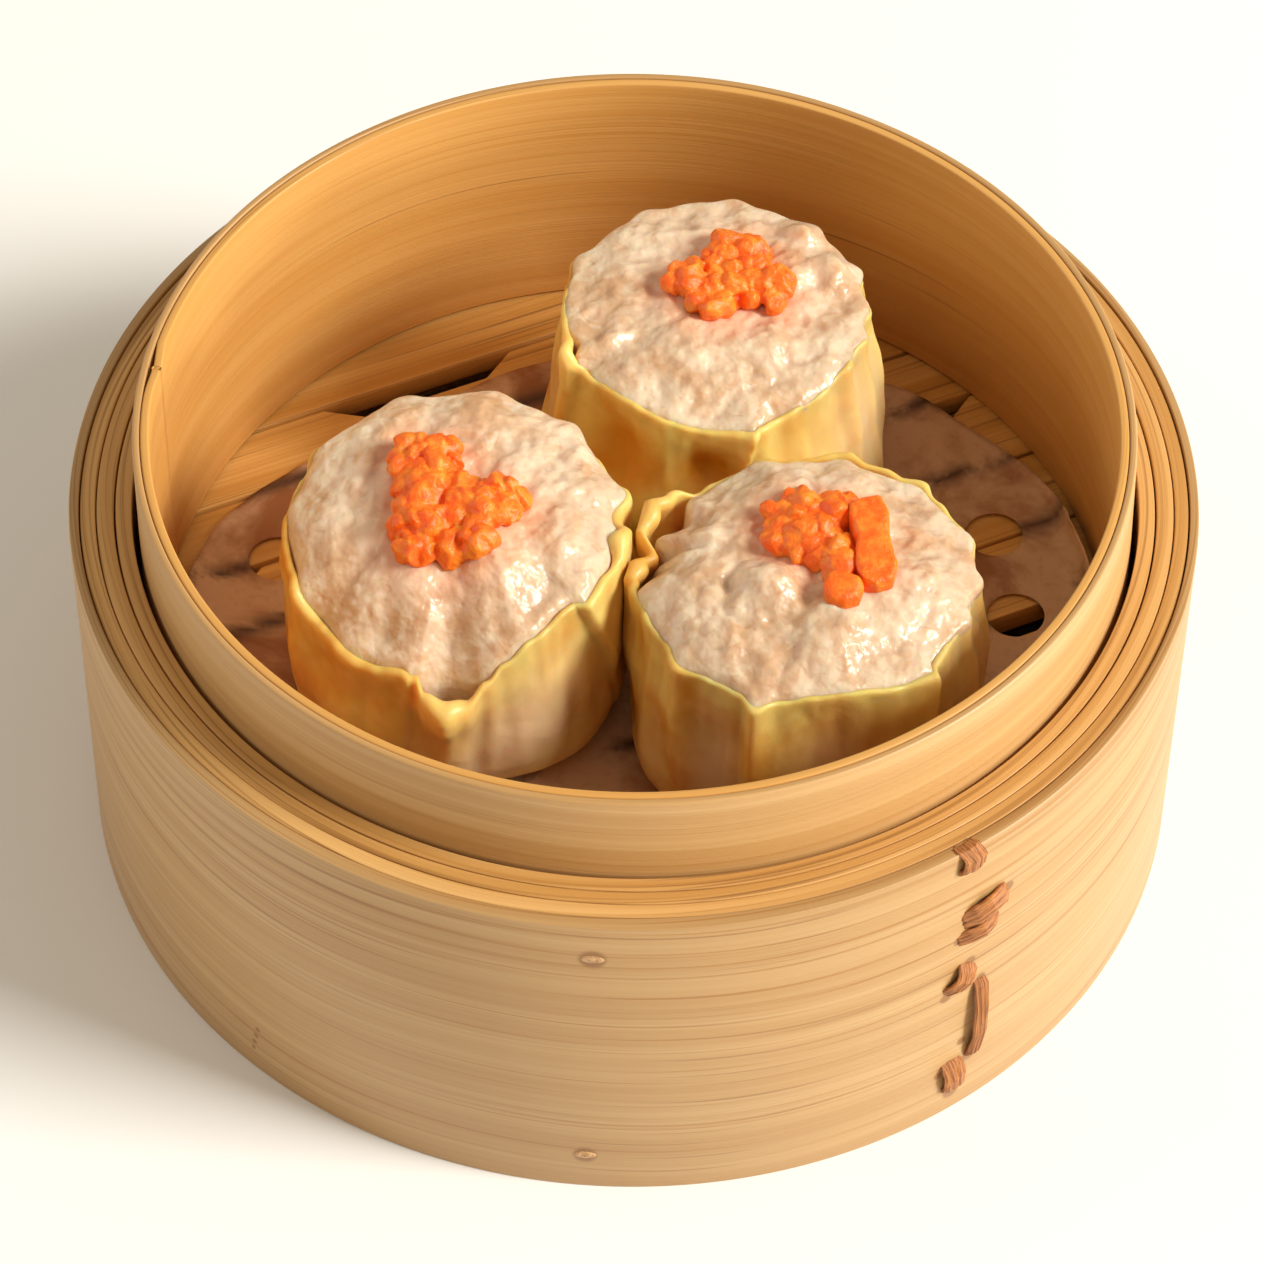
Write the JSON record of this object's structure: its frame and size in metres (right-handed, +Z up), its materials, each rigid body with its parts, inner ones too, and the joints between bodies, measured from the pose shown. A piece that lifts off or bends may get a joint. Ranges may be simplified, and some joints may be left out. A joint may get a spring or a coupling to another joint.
{
  "type": "siu mai dumplings in a bamboo steamer",
  "caption": "Open-topped pork dumplings in pleated yellow wrappers with carrot on top, on a punched paper liner in an open bamboo steamer basket.",
  "frame": {"origin": "centre of the basket's foot, where it stands", "axes": "+Z up along the basket's axis; +Y away from the side with the stitches and pegs; +X to the right as seen from that side"},
  "size_m": [0.132, 0.132, 0.0601],
  "materials": {
    "bamboo_wall": "satin split bamboo, pale",
    "bamboo_hoop": "satin split bamboo, golden",
    "bamboo_floor": "steamed bamboo, brown",
    "bamboo_peg": "dark end grain",
    "rattan": "fibrous strip",
    "liner_paper": "damp, see-through in patches",
    "dough": "moist, slightly see-through",
    "meat": "wet and lumpy",
    "carrot": "moist, cut faces"
  },
  "bodies": {
    "root": {"carrot_back": "carrot", "carrot_chunk_long": "carrot", "carrot_chunk_short": "carrot", "carrot_left": "carrot", "carrot_right": "carrot", "dumpling_back_filling": "meat", "dumpling_back_wrapper": "dough", "dumpling_left_filling": "meat", "dumpling_left_wrapper": "dough", "dumpling_right_filling": "meat", "dumpling_right_wrapper": "dough", "hoop_inner_ply": "bamboo_hoop", "hoop_outer_ply": "bamboo_hoop", "liner": "liner_paper", "peg_lower": "bamboo_peg", "peg_upper": "bamboo_peg", "slat_01": "bamboo_floor", "slat_02": "bamboo_floor", "slat_03": "bamboo_floor", "slat_04": "bamboo_floor", "slat_05": "bamboo_floor", "slat_06": "bamboo_floor", "slat_07": "bamboo_floor", "slat_08": "bamboo_floor", "slat_09": "bamboo_floor", "slat_10": "bamboo_floor", "slat_11": "bamboo_floor", "stitch_foot": "rattan", "stitch_long": "rattan", "stitch_middle": "rattan", "stitch_rim": "rattan", "stitch_upper": "rattan", "stitch_upper_tail": "rattan", "support_hoop": "bamboo_floor", "wall_turn_1": "bamboo_wall", "wall_turn_2": "bamboo_wall", "wall_turn_3": "bamboo_wall", "wall_turn_4": "bamboo_wall"}
  },
  "joints": []
}
